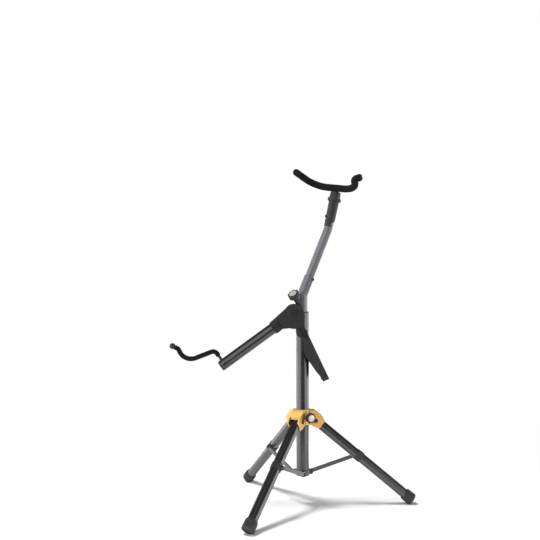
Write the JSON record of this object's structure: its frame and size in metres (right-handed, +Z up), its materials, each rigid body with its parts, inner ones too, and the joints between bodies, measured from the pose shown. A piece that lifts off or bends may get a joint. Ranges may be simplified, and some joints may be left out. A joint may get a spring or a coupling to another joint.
{
  "type": "saxophone stand",
  "caption": "Folding tripod floor stand with a height-adjustable bent upper arm carrying a foam-covered yoke and a folding lower arm with a foam-covered hook.",
  "frame": {"origin": "centre of the bounding box of the opened stand, on the floor", "axes": "+Z up; leg 1 and the upper arm lean towards +X, the lower arm points towards -X; the front seen in use is -Y"},
  "size_m": [0.5874, 0.4734, 0.8041],
  "materials": {
    "black_paint": "satin powder-coated steel tube",
    "grey_paint": "satin grey-black powder coat",
    "black_plastic": "fine-textured moulded nylon",
    "foot_rubber": "matt rubber",
    "black_foam": "matt closed-cell foam sleeve",
    "amber_plastic": "semi-gloss amber-yellow moulding",
    "knob_insert": "satin pale metal insert, plain",
    "zinc_steel": "zinc-plated steel",
    "dark_steel": "black-oxide steel"
  },
  "bodies": {
    "mast": {"mast_tube": "black_paint", "mast_end_plug": "black_plastic", "strut_bracket": "black_paint", "bracket_screw": "zinc_steel", "bracket_rivets": "dark_steel", "mast_guide_bush": "black_plastic", "head_bracket": "black_plastic", "head_screws": "dark_steel", "arm_pivot_pin": "dark_steel", "arm_pivot_nut": "dark_steel", "lever_studs": "dark_steel", "lever_spring": "dark_steel"},
    "collar": {"collar_casting": "amber_plastic", "leg_pivot_rivets": "dark_steel"},
    "collar_shoe": {"collar_pad": "black_plastic"},
    "collar_screw": {"collar_knob": "black_plastic", "collar_knob_cap": "knob_insert", "collar_knob_stud": "zinc_steel"},
    "leg_1": {"leg_tube_1": "black_paint", "foot_cap_1": "foot_rubber", "strut_clip_1": "black_plastic"},
    "leg_2": {"leg_tube_2": "black_paint", "foot_cap_2": "foot_rubber", "strut_clip_2": "black_plastic"},
    "leg_3": {"leg_tube_3": "black_paint", "foot_cap_3": "foot_rubber", "strut_clip_3": "black_plastic"},
    "brace_1": {"strut_1": "black_paint", "strut_pin_1": "dark_steel"},
    "brace_2": {"strut_2": "black_paint", "strut_pin_2": "dark_steel"},
    "brace_3": {"strut_3": "black_paint", "strut_pin_3": "dark_steel"},
    "riser": {"riser_tube": "grey_paint", "riser_glide": "black_plastic", "riser_screw": "dark_steel", "upper_arm_tube": "grey_paint", "yoke_holder": "black_plastic", "holder_screw": "dark_steel", "yoke_swivel_ring": "black_plastic"},
    "height_shoe": {"height_pad": "black_plastic"},
    "height_screw": {"height_knob": "black_plastic", "height_knob_cap": "knob_insert", "height_knob_stud": "zinc_steel"},
    "yoke": {"yoke_stem": "black_paint", "yoke_rod": "black_paint", "yoke_foam": "black_foam", "yoke_tip_caps": "foot_rubber"},
    "lower_arm": {"lower_arm_tube": "black_paint", "arm_fork": "black_plastic", "arm_rivets": "dark_steel", "arm_end_cap": "black_plastic", "arm_end_screw": "dark_steel"},
    "hook": {"hook_rod": "black_paint", "hook_foam": "black_foam", "hook_tip": "black_plastic"},
    "lever": {"release_lever": "black_plastic"}
  },
  "joints": [
    {"name": "collar_slide", "type": "slide", "parent": "mast", "child": "collar", "axis": [0, 0, 1], "range_m": [0, 0.11]},
    {"name": "leg_1_fold", "type": "hinge", "parent": "collar", "child": "leg_1", "pos_m": [0.0537, 0, 0.2], "axis": [0, 1, 0], "range_deg": [0, 31.62]},
    {"name": "leg_2_fold", "type": "hinge", "parent": "collar", "child": "leg_2", "pos_m": [0.0087, 0.02598, 0.2], "axis": [-0.866, -0.5, 0], "range_deg": [0, 31.62]},
    {"name": "leg_3_fold", "type": "hinge", "parent": "collar", "child": "leg_3", "pos_m": [0.0087, -0.02598, 0.2], "axis": [0.866, -0.5, 0], "range_deg": [0, 31.62]},
    {"name": "brace_1_fold", "type": "hinge", "parent": "mast", "child": "brace_1", "pos_m": [0.0437, 0.0151, 0.076], "axis": [0, -1, 0], "range_deg": [0, 44.68]},
    {"name": "brace_2_fold", "type": "hinge", "parent": "mast", "child": "brace_2", "pos_m": [0.00062, 0.00977, 0.076], "axis": [0.866, 0.5, 0], "range_deg": [0, 44.68]},
    {"name": "brace_3_fold", "type": "hinge", "parent": "mast", "child": "brace_3", "pos_m": [0.02678, -0.02487, 0.076], "axis": [-0.866, 0.5, 0], "range_deg": [0, 44.68]},
    {"name": "collar_shoe_slide", "type": "slide", "parent": "collar", "child": "collar_shoe", "axis": [0.4067, -0.9135, 0], "range_m": [0, 0.00253]},
    {"name": "collar_knob_turn", "type": "hinge", "parent": "collar_shoe", "child": "collar_screw", "pos_m": [0.03916, -0.03472, 0.21], "axis": [0.4067, -0.9135, 0], "range_deg": [0, 720]},
    {"name": "height_slide", "type": "slide", "parent": "mast", "child": "riser", "axis": [0, 0, 1], "range_m": [-0.025, 0.15]},
    {"name": "height_shoe_slide", "type": "slide", "parent": "mast", "child": "height_shoe", "axis": [-0.4545, -0.5417, 0.7071], "range_m": [0, 0.00253]},
    {"name": "height_knob_turn", "type": "hinge", "parent": "height_shoe", "child": "height_screw", "pos_m": [0.00188, -0.026, 0.49694], "axis": [-0.4545, -0.5417, 0.7071], "range_deg": [0, 720]},
    {"name": "yoke_swivel", "type": "hinge", "parent": "riser", "child": "yoke", "pos_m": [0.10476, 0, 0.74514], "axis": [0.2079, 0, 0.9781], "continuous": true},
    {"name": "arm_fold", "type": "hinge", "parent": "mast", "child": "lower_arm", "pos_m": [0.0037, 0, 0.455], "axis": [0, -1, 0], "range_deg": [0, 32]},
    {"name": "hook_swivel", "type": "hinge", "parent": "lower_arm", "child": "hook", "pos_m": [-0.16296, 0, 0.33392], "axis": [-0.5878, 0, 0.809], "continuous": true},
    {"name": "lever_pull", "type": "hinge", "parent": "mast", "child": "lever", "pos_m": [0.0277, 0, 0.404], "axis": [0, -1, 0], "range_deg": [0, 10], "stiffness_Nm_per_rad": 0.5, "springref_deg": -14.32}
  ],
  "couplings": [
    {"joint": "leg_1_fold", "follows": "collar_slide", "rad_per_m": 5.0088},
    {"joint": "leg_2_fold", "follows": "collar_slide", "rad_per_m": 5.0088},
    {"joint": "leg_3_fold", "follows": "collar_slide", "rad_per_m": 5.0088},
    {"joint": "brace_1_fold", "follows": "collar_slide", "rad_per_m": 7.0806},
    {"joint": "brace_2_fold", "follows": "collar_slide", "rad_per_m": 7.0806},
    {"joint": "brace_3_fold", "follows": "collar_slide", "rad_per_m": 7.0806},
    {"joint": "collar_shoe_slide", "follows": "collar_knob_turn", "m_per_rad": 0.00019894},
    {"joint": "height_shoe_slide", "follows": "height_knob_turn", "m_per_rad": 0.00019894}
  ]
}
